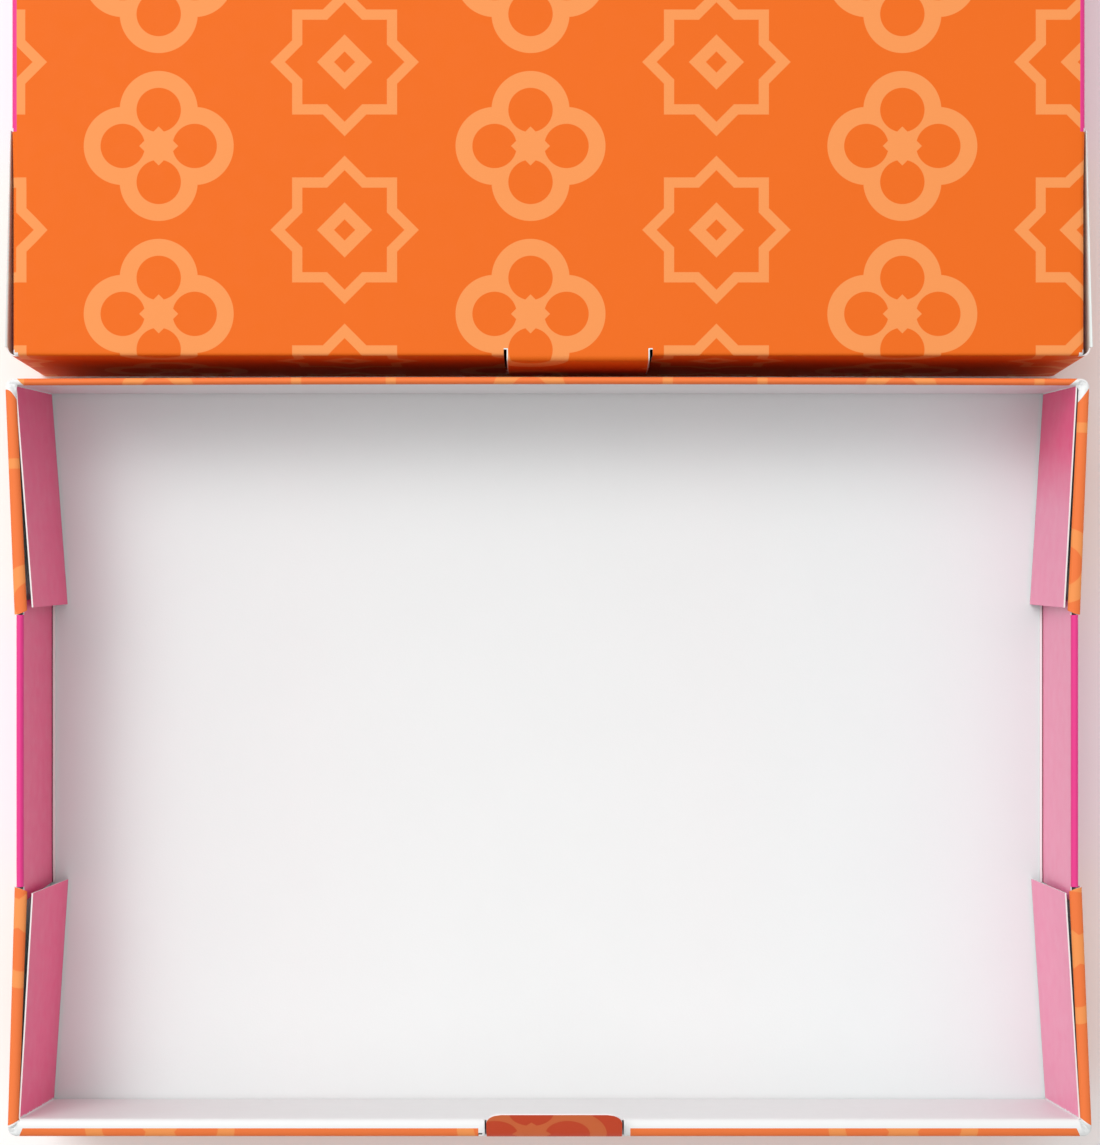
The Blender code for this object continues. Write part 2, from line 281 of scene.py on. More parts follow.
def arc(radius, turn, count):
    """(forward, sideways, run) points of a fold of that radius."""
    angles = steps(0.0, turn, count)
    return [(radius * math.sin(a), radius * (1 - math.cos(a)), radius * a) for a in angles]


def fold_and_run(radius, turn, length, folds, count):
    """A fold and the straight flap past it, as (forward, sideways, run) points."""
    path = arc(radius, turn, folds)
    x, y, run = path[-1]
    for far in steps(0.0, length, count)[1:]:
        path.append((x + math.cos(turn) * far, y + math.sin(turn) * far, run + far))
    return path


def lengths(points):
    """Running length along a list of points."""
    total = [0.0]
    for a, b in zip(points, points[1:]):
        total.append(total[-1] + math.dist(a, b))
    return total


def roll_profile(width, count):
    """(inward, height) points over a rolled rim."""
    turns = steps(0.0, math.pi, count)
    return [(width / 2 * (1 - math.cos(a)), SHOULDER + ROLL_RISE * math.sin(a)) for a in turns]


def drawn(x, ends):
    """x with the rim's end parts squeezed or stretched to end at those distances, left and right."""
    past = (abs(x) - RIM_STRAIGHT) / (ROLL_END - RIM_STRAIGHT)
    if past <= 0:
        return x
    end = ends[0] if x < 0 else ends[1]
    return math.copysign(RIM_STRAIGHT + (end - RIM_STRAIGHT) * past, x)


def rim_places(ends, share):
    """The rim's columns that far over it: the ink ends slanting, and the columns beside it give way."""
    xs = [drawn(x, ends) for x in rim_xs]
    for k, part in INK_FOLLOW:
        xs[k] += RIM_INK_SLANT * share * part
        xs[-1 - k] -= RIM_INK_SLANT * share * part
    return xs


rim_xs = [-ROLL_END, -RIM_INKED, *across, RIM_INKED, ROLL_END]
wall_low = HALF + CREASE
wall_zs = steps(wall_low, SHOULDER, 8)
rim_ends = {}  # the end profiles of the rims, by side and end, for the corners


def end_wall(back, roll, printed_rows, tongue):
    """The front wall (back -1) or the back wall (back 1). roll is how wide its rim is, and printed_rows how
    far over the rim the ink goes."""
    y = back * WALL_Y
    # the fold along the floor
    fold = arc(CREASE, math.pi / 2, 3)
    rows = [[Vector((x, y - back * (CREASE - f), HALF + s)) for x in across] for f, s, _ in fold]
    flat = [[(x, back * (WALL_Y - CREASE + run)) for x in across] for _, _, run in fold]
    lay(base_sheet, rows, flat, ORANGE)
    # the outer panel, and the ends of it that stand past the floor
    ends_low = (WALL_LOWEST, wall_low)
    for columns, heights in ((rim_xs, wall_zs), (rim_xs[:2], ends_low), (rim_xs[-2:], ends_low)):
        rows = [[Vector((x, y, z)) for x in columns] for z in heights]
        flat = [[(x, back * (WALL_START + z)) for x in columns] for z in heights]
        lay(base_sheet, rows, flat, ORANGE)
    # the rolled rim, whose ink ends slanting
    width = roll - BOARD
    profile = roll_profile(width, 10)
    runs = lengths(profile)
    leans = [INNER_PLACES[side, back][0] for side in (-1, 1)]
    tops = [LINING_HALF + lean - LINING_CREASE for lean in leans]
    rows, flat = [], []
    for (inward, z), run in zip(profile, runs):
        share = inward / width
        ends = [ROLL_END + (top - ROLL_END) * share for top in tops]
        xs = rim_places(ends, share)
        rows.append([Vector((x, y - back * inward, z)) for x in xs])
        flat.append([(x, back * (WALL_START + SHOULDER + run)) for x in xs])

    def rim_finish(i, j):
        if tongue and within(rim_xs, j, hole_left, hole_right):
            return None
        if tongue and within(rim_xs, j, break_left, break_right):
            torn = within(rim_xs, j, break_left, break_left + RIM_NICK) or rim_xs[j] > hole_right + RIM_NICK
            return None if torn and 0 < i < 3 else WHITE
        bare = j in (0, len(rim_xs) - 2)
        return ORANGE if i < printed_rows and not bare else WHITE

    lay(base_sheet, rows, flat, rim_finish)
    rim_ends[-1, back] = [row[0] for row in rows]
    rim_ends[1, back] = [row[-1] for row in rows]
    # the lining and its two flaps
    top_run = WALL_START + SHOULDER + runs[-1]
    rows, flat = [], []
    for share in steps(0.0, 1.0, 10):
        z = SHOULDER + (LINING_FOOT - SHOULDER) * share
        inward = width + (LAYER - width) * share
        ends = [top - lean * share for top, lean in zip(tops, leans)]
        v = back * (top_run + SHOULDER - z)
        row = [Vector((x, y - back * inward, z)) for x in rim_places(ends, 1.0)]
        row_flat = [(x, v) for x in rim_xs]
        long_top, long_foot = INNER_FLAPS[back]
        for side, end in zip((-1, 1), ends):
            _, swing_top, swing_foot = INNER_PLACES[side, back]
            turn = math.radians(90 + swing_top + (swing_foot - swing_top) * share)
            long = long_top + (long_foot - long_top) * share
            flap = fold_and_run(LINING_CREASE, turn, long, FLAP_FOLDS, FLAP_STEPS)
            points = [Vector((side * (end + f), y - back * (inward + s), z)) for f, s, _ in flap[1:]]
            points_flat = [(side * (ROLL_END + run), v) for _, _, run in flap[1:]]
            row = row + points if side > 0 else points[::-1] + row
            row_flat = row_flat + points_flat if side > 0 else points_flat[::-1] + row_flat
        rows.append(row)
        flat.append(row_flat)
    white_end = FLAP_STEPS + 2 * FLAP_FOLDS + len(rim_xs) - 1
    lay(base_sheet, rows, flat, lambda i, j: WHITE if FLAP_STEPS <= j < white_end else PINK)


end_wall(-1, FRONT_ROLL, 5, True)
end_wall(1, BACK_ROLL, 10, False)

# ---------------------------------------------------------------------------------------------------
# Side walls of the base, printed magenta. The middle stretch turns over in a rim and comes down inside as a
# pink lining, a little longer than its rim, that ends on the floor in a seam painted dark as shade and a
# white lip painted brighter as a highlight.
# Beside the corner flaps the wall is lower, has no rim and leans out.
SIDE_ROLL = 0.0025
SIDE_LOW = 0.0565
SIDE_FLARE = 0.0010
LINING_OVER = 0.005
LINING_SHOULDER = 0.0006  # the lining is this far below its rim before it widens past it
LINING_SEAM = 0.0005
LINING_LIP = 0.0014  # from the lining's foot to the lip's edge, the seam included
LIP_DROP = 0.0004


def side_wall(right):
    """One side wall; gives the unfolded distance of its lining's foot."""
    x = right * WALL_X
    fold = arc(CREASE, math.pi / 2, 3)
    rows = [[Vector((x - right * (CREASE - f), y, HALF + s)) for y in along] for f, s, _ in fold]
    flat = [[(right * (WALL_X - CREASE + run), y) for y in along] for _, _, run in fold]
    lay(base_sheet, rows, flat, MAGENTA)
    start = WALL_X - WALL_Y + WALL_START
    heights = joined(steps(wall_low, SIDE_LOW, 6), [SIDE_LOW, SHOULDER])
    rows = []
    for z in heights:
        row = []
        for y in along:
            past = max(0.0, y - SIDE_ROLL_BACK, SIDE_ROLL_FRONT - y) / (floor_back - SIDE_ROLL_BACK)
            flare = SIDE_FLARE * min(1.0, past) * (z - wall_low) / (SIDE_LOW - wall_low)
            row.append(Vector((x + right * flare, y, z)))
        rows.append(row)
    flat = [[(right * (start + z), y) for y in along] for z in heights]

    def wall_finish(i, j):
        middle = within(along, j, SIDE_ROLL_FRONT, SIDE_ROLL_BACK)
        return MAGENTA if middle or i < len(heights) - 2 else None

    lay(base_sheet, rows, flat, wall_finish)
    middle = [y for y in along if SIDE_ROLL_FRONT - SLACK < y < SIDE_ROLL_BACK + SLACK]
    width = SIDE_ROLL - BOARD
    profile = roll_profile(width, 8)
    rows = [[Vector((x - right * inward, y, z)) for y in middle] for inward, z in profile]
    flat = [[(right * (start + SHOULDER + run), y) for y in middle] for run in lengths(profile)]
    lay(base_sheet, rows, flat, MAGENTA)
    down = list(zip(steps(width, LAYER, 8), steps(SHOULDER, LINING_FOOT, 8)))
    down.insert(1, (width, SHOULDER - LINING_SHOULDER))
    down += [(LAYER + past_foot, LINING_FOOT - LIP_DROP) for past_foot in (LINING_SEAM, LINING_LIP)]
    ys = [SIDE_ROLL_FRONT - LINING_OVER, *middle, SIDE_ROLL_BACK + LINING_OVER]
    top_run = start + SHOULDER + lengths(profile)[-1]
    rows = [[Vector((x - right * inward, y, z)) for y in ys] for inward, z in down]
    flat = [[(right * (top_run + run), y) for y in ys] for run in lengths(down)]
    foot = top_run + lengths(down)[-3]

    def lining_finish(i, j):
        if i == 0 and j in (0, len(ys) - 2):
            return None
        return PINK if i < len(down) - 2 else WHITE

    lay(base_sheet, rows, flat, lining_finish)
    return foot


for right in (-1, 1):
    lining_foot = side_wall(right)

# ---------------------------------------------------------------------------------------------------
# Corner flaps of the base: the ends of the front and back walls, bent round outside the side walls and
# hemmed inward along the top. They stand off at the corner and lie close at the free end. A small web of
# crumpled board, bare of ink, closes each corner between the rim's end and the hem's slanting one.
CORNER_OUT = 0.18075
CORNER_IN = {(-1, -1): 0.1777, (-1, 1): 0.1777, (1, -1): 0.1782, (1, 1): 0.1777}
CORNER_ROUND = 0.00275
HEM_WIDTH = 0.0036  # at the corner
HEM_WIDENS = 1.22  # times as wide at the free end
HEM_ROUND = 0.0012  # how much the hem's free end is rounded off
RAGGED = 0.001  # ink that begins later than this slants across the hem, and other ink keeps its distance
CORNER_GAP = 0.0001  # air between a corner flap's free end and the side rim
WEB_DENT = 0.0008
WEB_CRUMPLE = 0.0003
# by side and end: slant of the hem's start, how much later its ink begins, and how round the start is
HEM_CUTS = {
    (-1, -1): (0.0019, 0.0005, 1.2),
    (-1, 1): (0.0034, 0.0006, 2.6),
    (1, -1): (0.0026, 0.0006, 1.2),
    (1, 1): (0.0012, 0.0038, 1.1),
}
hem_starts = {}  # the hems' slanting ends, and the tops of the bends before them, for the webs
bend_tops = {}


def corner_flap(right, back, free_end):
    ahead = abs(back * WALL_Y - free_end)
    lean = math.atan2(CORNER_OUT - CORNER_IN[right, back], ahead - CORNER_ROUND)
    turn = math.pi / 2 + lean
    fold = arc(CORNER_ROUND, turn, 7)
    length = (ahead - fold[-1][1]) / math.sin(turn)
    path = fold_and_run(CORNER_ROUND, turn, length, 7, 22)

    def placed(point, z, inward=0.0):
        f, s, _ = point
        f -= inward * math.sin(turn)
        s += inward * math.cos(turn)
        return Vector((right * (ROLL_END + f), back * (WALL_Y - s), z))

    heights = [WALL_LOWEST, *wall_zs]
    rows = [[placed(p, z) for p in path] for z in heights]
    flat = [[(right * (ROLL_END + p[2]), back * (WALL_START + z)) for p in path] for z in heights]
    lay(base_sheet, rows, flat, ORANGE)
    # the hem: its cut end, the ragged end of the ink, and the rest
    cut_slant, ink_slant, power = HEM_CUTS[right, back]
    corner = fold[-1]
    width = HEM_WIDTH - BOARD
    profile = roll_profile(width, 10)
    rows, flat = [], []
    for (inward, z), rolled in zip(profile, lengths(profile)):
        share = inward / width
        begin = cut_slant * share**power
        inked = begin + ink_slant * (share if ink_slant > RAGGED else 1.0)
        stop = length - HEM_ROUND * share**2
        row, row_flat = [], []
        for far in joined([begin, inked], steps(inked, stop, 22)):
            run = corner[2] + far
            point = (corner[0] + math.cos(turn) * far, corner[1] + math.sin(turn) * far, run)
            row.append(placed(point, z, inward * (1 + (HEM_WIDENS - 1) * far / length)))
            row_flat.append((right * (ROLL_END + run), back * (WALL_START + SHOULDER + rolled)))
        rows.append(row)
        flat.append(row_flat)
    # the first row joins the wall's top edge, point for point
    for j, p in enumerate(path[len(fold) - 1 :]):
        if j:
            rows[0][j + 1] = placed(p, SHOULDER)
    lay(base_sheet, rows, flat, lambda i, j: WHITE if j == 0 else ORANGE)
    hem_starts[right, back] = [row[0] for row in rows]
    bend_tops[right, back] = [placed(p, SHOULDER) for p in fold]


def corner_web(right, back):
    """The crumpled white board between the end of a rim, the bend of the wall and the start of the hem."""
    outer, rim, hem = (parts[right, back] for parts in (bend_tops, rim_ends, hem_starts))
    rows, flat = [], []
    for i, (a, b) in enumerate(zip(rim[:-1], hem)):
        s = i / (len(rim) - 1)
        row = []
        for k, c in enumerate(outer):
            u = k / (len(outer) - 1)
            inner = rim[-1].lerp(hem[-1], u)
            corners = outer[0].lerp(outer[-1], u).lerp(inner, s)
            point = c.lerp(inner, s) + a.lerp(b, u) - corners
            inside = 16 * s * (1 - s) * u * (1 - u)
            crumple = math.sin(2.1 * i + 1.7 * k + 5 * right + 7 * back)
            point.z += inside * (WEB_CRUMPLE * crumple - WEB_DENT)
            row.append(point)
        rows.append(row)
        flat.append([(p.x, back * (WALL_START + SHOULDER)) for p in row])
    lay(base_sheet, rows, flat, WHITE)


for right in (-1, 1):
    corner_flap(right, -1, SIDE_ROLL_FRONT - CORNER_GAP)
    corner_flap(right, 1, SIDE_ROLL_BACK + CORNER_GAP)
    corner_web(right, -1)
    corner_web(right, 1)

# ---------------------------------------------------------------------------------------------------
# The tongue: part of the front wall, cut free of the rim. It rises past the wall's top edge and leans in
# over the rim, with rounded corners.
TONGUE_REACH = 0.0144  # along the board, from the wall's top to the free edge
TONGUE_RADIUS = 0.0050
TONGUE_LEAN = math.radians(47)
TONGUE_CORNER = 0.0050

tongue_xs = [x for x in across if tongue_left - SLACK < x < tongue_right + SLACK]
tongue_square = TONGUE_REACH - TONGUE_CORNER
rows, flat = [], []
for far in joined(steps(0.0, tongue_square, 8), steps(tongue_square, TONGUE_REACH, 10)):
    turn = min(TONGUE_LEAN, far / TONGUE_RADIUS)
    straight = far - turn * TONGUE_RADIUS
    past = min(TONGUE_CORNER, max(0.0, far - tongue_square))
    half = TONGUE_WIDE / 2 - TONGUE_CORNER + math.sqrt(TONGUE_CORNER**2 - past**2)
    y = -WALL_Y + TONGUE_RADIUS * (1 - math.cos(turn)) + straight * math.sin(turn)
    z = SHOULDER + TONGUE_RADIUS * math.sin(turn) + straight * math.cos(turn)
    xs = [TONGUE_MID + (x - TONGUE_MID) * half * 2 / TONGUE_WIDE for x in tongue_xs]
    rows.append([Vector((x, y, z)) for x in xs])
    flat.append([(x, -WALL_START - SHOULDER - far) for x in xs])
lay(base_sheet, rows, flat, ORANGE)

# ---------------------------------------------------------------------------------------------------
# The finishes. Orange and magenta inks with a satin varnish, the orange with a paler tonal pattern of
# quatrefoils and eight-point stars; bare coated white; and the raw white of the inside and cut edges.
CLOUD_SCALE = 28.0  # faint clouds of tone in the ink and board
SHEEN_SCALE = 160.0  # patches where the surface is a little duller
FIBRE_SCALE = 1400.0  # the grain of the board
FIBRE_HIGH = 0.0001


def blended(tree, share, a, b):
    """Colour a where share is 0 and b where it is 1; a and b are colours or sockets."""
    node = tree.nodes.new("ShaderNodeMix")
    node.data_type = "RGBA"
    tree.links.new(share, node.inputs["Factor"])
    for socket, value in ((node.inputs["A"], a), (node.inputs["B"], b)):
        if isinstance(value, tuple):
            socket.default_value = (*value, 1)
        else:
            tree.links.new(value, socket)
    return node.outputs["Result"]


def noise(tree, place, scale, detail):
    """Soft random tones, from 0 to 1, about scale of them to the metre."""
    node = tree.nodes.new("ShaderNodeTexNoise")
    tree.links.new(place, node.inputs["Vector"])
    node.inputs["Scale"].default_value = scale
    node.inputs["Detail"].default_value = detail
    return node.outputs["Fac"]


def board_finish(name, colour, roughness, bump, specular):
    """A finish of the sheet. colour is a colour, or a function of the tree that gives a socket."""
    material = bpy.data.materials.new(name)
    material.use_nodes = True
    tree = material.node_tree
    shader = tree.nodes["Principled BSDF"]
    blank = tree.nodes.new("ShaderNodeUVMap")
    blank.uv_map = "blank"
    place = blank.outputs["UV"]
    base = colour(tree, place) if callable(colour) else colour
    cloud = noise(tree, place, CLOUD_SCALE, 3.0)
    tone = ranged(tree, cloud, 0.3, 0.7, 0.995, 1.005)
    scaled = tree.nodes.new("ShaderNodeVectorMath")
    scaled.operation = "SCALE"
    if isinstance(base, tuple):
        scaled.inputs[0].default_value = base
    else:
        tree.links.new(base, scaled.inputs[0])
    tree.links.new(tone, scaled.inputs["Scale"])
    tree.links.new(scaled.outputs["Vector"], shader.inputs["Base Color"])
    fibre = noise(tree, place, FIBRE_SCALE, 4.0)
    patches = noise(tree, place, SHEEN_SCALE, 2.0)
    rough = ranged(tree, patches, 0.25, 0.75, roughness - 0.04, roughness + 0.05)
    tree.links.new(rough, shader.inputs["Roughness"])
    relief = tree.nodes.new("ShaderNodeBump")
    relief.inputs["Strength"].default_value = bump
    relief.inputs["Distance"].default_value = FIBRE_HIGH
    tree.links.new(fibre, relief.inputs["Height"])
    tree.links.new(relief.outputs["Normal"], shader.inputs["Normal"])
    shader.inputs["Specular IOR Level"].default_value = specular
    return material


# The pattern's sizes are in millimetres. Quatrefoils and stars take turns across, half a rise apart.
MOTIF_PITCH = 62.0
MOTIF_RISE = 56.0
MOTIF_LEFT = 6.0  # a quatrefoil's centre lies this far left and forward of the floor's middle
MOTIF_FORWARD = 20.0
PETAL_RADIUS = 13.0
PETAL_OUT = 12.0
PETAL_LINE = 5.6
DIAMOND_HALF = 6.5
STAR_HALF = 17.5
STAR_LINE = 3.4
HEART_HALF = 6.5
HEART_LINE = 4.0
MOTIF_EDGE = 0.12  # half the width of the ink's soft edge
RIM_HIGHLIGHT_MID, RIM_HIGHLIGHT_HALF = 0.010, 0.0098  # the band past the walls' tops, over the rims and hems, where a highlight is painted as paler ink, in metres
TONGUE_SPARE = 0.0002
TONGUE_SHADE_FADE = 0.6  # how much fainter the pattern is drawn on the tongue, part of its painted shade
PALE_ORANGE = (0.84, 0.29, 0.085)
INK_ORANGE = (0.78, 0.140, 0.010)
# painted highlight: paler orange on the rims and hems, standing in for the sheen of light on their rolled
# tops
RIM_HIGHLIGHT_ORANGE = (0.81, 0.185, 0.05)
# painted shade: darker, redder orange on the tongue's front-facing face, which the light from behind misses
TONGUE_SHADE_ORANGE = (0.66, 0.070, 0.022)


def tiled(tree, place, shift_x, shift_y):
    """How far, in millimetres across and along the sheet, the nearest centre of a motif is."""
    split = tree.nodes.new("ShaderNodeSeparateXYZ")
    tree.links.new(place, split.inputs[0])
    found = []
    for socket, shift, pitch in ((0, shift_x, 2 * MOTIF_PITCH), (1, shift_y, MOTIF_RISE)):
        value = calc(tree, "MULTIPLY_ADD", split.outputs[socket], 1000.0, shift)
        found.append(calc(tree, "ABSOLUTE", calc(tree, "WRAP", value, pitch / 2, -pitch / 2)))
    return found


def outline_of(tree, distance, line):
    """The band that wide just inside a shape, as a distance: below 0 on the line."""
    inner = calc(tree, "ADD", distance, line / 2)
    return calc(tree, "SUBTRACT", calc(tree, "ABSOLUTE", inner), line / 2)


def tonal_print(tree, place):
    """1 on the pattern's lines and 0 between them."""
    x, y = tiled(tree, place, MOTIF_LEFT, MOTIF_FORWARD)
    petals = []
    for a, b in ((x, y), (y, x)):
        away = calc(tree, "SUBTRACT", a, PETAL_OUT)
        squares = calc(tree, "ADD", calc(tree, "MULTIPLY", away, away), calc(tree, "MULTIPLY", b, b))
        petals.append(calc(tree, "SUBTRACT", calc(tree, "SQRT", squares), PETAL_RADIUS))
    quatrefoil = outline_of(tree, calc(tree, "MINIMUM", *petals), PETAL_LINE)
    diamond = calc(tree, "SUBTRACT", calc(tree, "ADD", x, y), DIAMOND_HALF)
    x, y = tiled(tree, place, MOTIF_LEFT + MOTIF_PITCH, MOTIF_FORWARD + MOTIF_RISE / 2)
    square = calc(tree, "SUBTRACT", calc(tree, "MAXIMUM", x, y), STAR_HALF)
    slant = calc(tree, "MULTIPLY", calc(tree, "ADD", x, y), math.sqrt(0.5))
    turned = calc(tree, "SUBTRACT", slant, STAR_HALF)
    star = outline_of(tree, calc(tree, "MINIMUM", square, turned), STAR_LINE)
    heart = outline_of(tree, calc(tree, "SUBTRACT", slant, HEART_HALF), HEART_LINE)
    nearest = calc(tree, "MINIMUM", quatrefoil, diamond)
    nearest = calc(tree, "MINIMUM", nearest, star)
    nearest = calc(tree, "MINIMUM", nearest, heart)
    return ranged(tree, nearest, -MOTIF_EDGE, MOTIF_EDGE, 1.0, 0.0)


def orange_colour(tree, place):
    """The orange ink and its pattern. Over the base's rims and hems the ink is painted paler, a painted
    highlight on their rolled tops. On the tongue it is painted darker and redder, with the pattern fainter,
    as painted shade on its front-facing face."""
    split = tree.nodes.new("ShaderNodeSeparateXYZ")
    tree.links.new(place, split.inputs[0])
    across_tongue = calc(tree, "ABSOLUTE", calc(tree, "SUBTRACT", split.outputs[0], TONGUE_MID))
    beside = calc(tree, "LESS_THAN", across_tongue, TONGUE_WIDE / 2 + TONGUE_SPARE)
    above = calc(tree, "LESS_THAN", split.outputs[1], -WALL_START - SHOULDER)
    tongue = calc(tree, "MULTIPLY", beside, above)
    past_wall = calc(tree, "SUBTRACT", calc(tree, "ABSOLUTE", split.outputs[1]), WALL_START + SHOULDER)
    # painted highlight over the rims and hems: the band where the ink is drawn paler
    rim_highlight = calc(tree, "COMPARE", past_wall, RIM_HIGHLIGHT_MID, RIM_HIGHLIGHT_HALF)
    ink = blended(tree, tongue, blended(tree, rim_highlight, INK_ORANGE, RIM_HIGHLIGHT_ORANGE), TONGUE_SHADE_ORANGE)
    kept = calc(tree, "MULTIPLY_ADD", tongue, -TONGUE_SHADE_FADE, 1.0)
    pattern = calc(tree, "MULTIPLY", tonal_print(tree, place), kept)
    return blended(tree, pattern, ink, PALE_ORANGE)


INK_MAGENTA = (0.76, 0.045, 0.25)
LINING_MAGENTA = (0.90, 0.04, 0.21)
# painted sheen: a paler pink on the right linings and flaps, standing in for the glare of light on them
PAINTED_SHEEN_MAGENTA = (0.88, 0.22, 0.40)
# painted shade: the dark line of the seam at the side linings' feet, where shadow falls between lining and
# lip
SEAM_SHADE_MAGENTA = (0.16, 0.01, 0.04)
BARE_WHITE = (0.775, 0.79, 0.79)
# painted light: a cooler white that cancels the pink light the side walls reflect onto the inside
BOUNCE_CANCEL_WHITE = (0.74, 0.84, 0.83)
# painted highlight: a brighter white on the lips at the side linings' feet
LIP_HIGHLIGHT_WHITE = (0.93, 0.93, 0.93)
CUT_WHITE = (0.82, 0.78, 0.775)
CRACK_FROM = -0.0005  # the cracked band at the inner flaps' folds, from the rims' ends on
CRACK_LEAST, CRACK_MOST = 0.0006, 0.0014
CRACK_LESS_BEHIND = 0.0004
FLAP_AHEAD = 0.10  # unfolded distances below this are the side linings' and the front flaps'
SHEEN_FROM, SHEEN_TO = 0.020, 0.042  # the painted sheen on the right back flap grows between these, from its fold on
COOL_END = 0.176  # the painted cooling against the walls' pink light is strongest this far out, and absent between the next two
COOL_LEFT, COOL_RIGHT = -0.090, 0.060
COOL_LEFT_MOST = 0.75


def base_pink(tree, place):
    """Magenta ink, painted paler on the right as a painted sheen, and painted dark in the seam at the foot
    of the side linings as painted shade, with a ragged white edge where it has cracked along the folds of
    the inner flaps."""
    split = tree.nodes.new("ShaderNodeSeparateXYZ")
    tree.links.new(place, split.inputs[0])
    past = calc(tree, "SUBTRACT", calc(tree, "ABSOLUTE", split.outputs[0]), ROLL_END)
    rag = ranged(tree, noise(tree, place, 900.0, 3.0), 0.35, 0.65, CRACK_LEAST, CRACK_MOST)
    rag = calc(tree, "SUBTRACT", rag, ranged(tree, split.outputs[1], -0.05, 0.05, 0.0, CRACK_LESS_BEHIND))
    beside = calc(tree, "LESS_THAN", past, rag)
    crack = calc(tree, "MULTIPLY", beside, calc(tree, "GREATER_THAN", past, CRACK_FROM))
    right = calc(tree, "GREATER_THAN", split.outputs[0], 0.0)
    ahead = calc(tree, "LESS_THAN", split.outputs[1], FLAP_AHEAD)
    along_back = ranged(tree, split.outputs[0], ROLL_END + SHEEN_FROM, ROLL_END + SHEEN_TO, 0.0, 1.0)
    # where the painted sheen lies: the right side linings and front flap, and the right back flap past its
    # fold
    painted_sheen = calc(tree, "MULTIPLY", right, calc(tree, "MAXIMUM", ahead, along_back))
    ink = blended(tree, painted_sheen, LINING_MAGENTA, PAINTED_SHEEN_MAGENTA)
    # painted shade in the seam at the side linings' feet
    seam = calc(tree, "GREATER_THAN", calc(tree, "ABSOLUTE", split.outputs[0]), lining_foot)
    return blended(tree, crack, blended(tree, seam, ink, SEAM_SHADE_MAGENTA), BARE_WHITE)


def face_white(tree, place):
    """The coated white, painted brighter on the lips at the feet of the side linings as a painted highlight.
    """
    split = tree.nodes.new("ShaderNodeSeparateXYZ")
    tree.links.new(place, split.inputs[0])
    lip = calc(tree, "GREATER_THAN", calc(tree, "ABSOLUTE", split.outputs[0]), lining_foot)
    return blended(tree, lip, BARE_WHITE, LIP_HIGHLIGHT_WHITE)


def inside_white(tree, place):
    """Raw white board, painted a little cooler beside the side walls to cancel the pink light that their
    magenta reflects onto it.
    """
    split = tree.nodes.new("ShaderNodeSeparateXYZ")
    tree.links.new(place, split.inputs[0])
    left = ranged(tree, split.outputs[0], -COOL_END, COOL_LEFT, COOL_LEFT_MOST, 0.0)
    right = ranged(tree, split.outputs[0], COOL_RIGHT, COOL_END, 0.0, 1.0)
    return blended(tree, calc(tree, "MAXIMUM", left, right), BARE_WHITE, BOUNCE_CANCEL_WHITE)


orange = board_finish("orange_print", orange_colour, roughness=0.55, bump=0.12, specular=0.12)
magenta = board_finish("magenta_print", INK_MAGENTA, roughness=0.45, bump=0.10, specular=0.2)
white = board_finish("white_face", face_white, roughness=0.45, bump=0.15, specular=0.5)
pink = board_finish("magenta_lining", base_pink, roughness=0.36, bump=0.10, specular=0.7)
raw = board_finish("white_inside", inside_white, roughness=0.60, bump=0.25, specular=0.3)
cut = board_finish("cut_edge", CUT_WHITE, roughness=0.85, bump=0.5, specular=0.1)
printed_side = [orange, magenta, white, pink]

# ---------------------------------------------------------------------------------------------------
# The base as one piece: its sheet is closed up, given the board's thickness and put in place of the
# solid. The back rim bows out a little in the middle, as an empty carton's does, and the front corners
# stand a little to the right.
BACK_BOW = 0.0006
BOW_FROM, BOW_OVER = 0.120, 0.006  # the bow is there past this depth, and whole that much further back
BOW_LONG = 0.362
FRONT_SHIFT = 0.0008
SHIFT_FROM, SHIFT_OVER = 0.040, 0.086  # the shift begins this far in front, and is whole that much further
WELD = 4e-6  # points of neighbouring panels this near become one
SHARP = math.radians(35)


def board_piece(name, sheet, node, middle, printed):
    """One folded sheet as an object: printed finishes outside, raw board inside, cut edges round the rim.
    printed is the way the printed side faces at the point in the middle of the sheet."""
    bmesh.ops.remove_doubles(sheet, verts=sheet.verts, dist=WELD)
    bmesh.ops.recalc_face_normals(sheet, faces=sheet.faces)
    nearest = min(sheet.faces, key=lambda face: (face.calc_center_median() - middle).length)
    if nearest.normal.z * printed < 0:
        bmesh.ops.reverse_faces(sheet, faces=sheet.faces)
    mesh = bpy.data.meshes.new(name + "_sheet")
    sheet.to_mesh(mesh)
    sheet.free()
    for material in printed_side + [raw] * FINISHES + [cut]:
        mesh.materials.append(material)
    piece = bpy.data.objects.new(name, mesh)
    scene.collection.objects.link(piece)
    board = piece.modifiers.new("board", "SOLIDIFY")
    board.thickness = BOARD
    board.offset = 0.0
    board.use_even_offset = True
    board.material_offset = FINISHES
    board.material_offset_rim = 2 * FINISHES
    solid = bpy.data.meshes.new_from_object(piece.evaluated_get(bpy.context.evaluated_depsgraph_get()))
    piece.modifiers.clear()
    piece.data = solid
    solid.set_sharp_from_angle(angle=SHARP)
    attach(piece, "root")
    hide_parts(node)


for vert in base_sheet.verts:
    back = max(0.0, vert.co.y - BOW_FROM) / BOW_OVER
    bow = BACK_BOW * math.cos(math.pi * vert.co.x / BOW_LONG)
    vert.co.y += bow * min(1.0, back) * vert.co.z / BASE_TALL
    front = max(0.0, -vert.co.y - SHIFT_FROM) / SHIFT_OVER
    vert.co.x += FRONT_SHIFT * min(1.0, front)
board_piece("base_board", base_sheet, "base", Vector((0, 0, HALF)), -1)

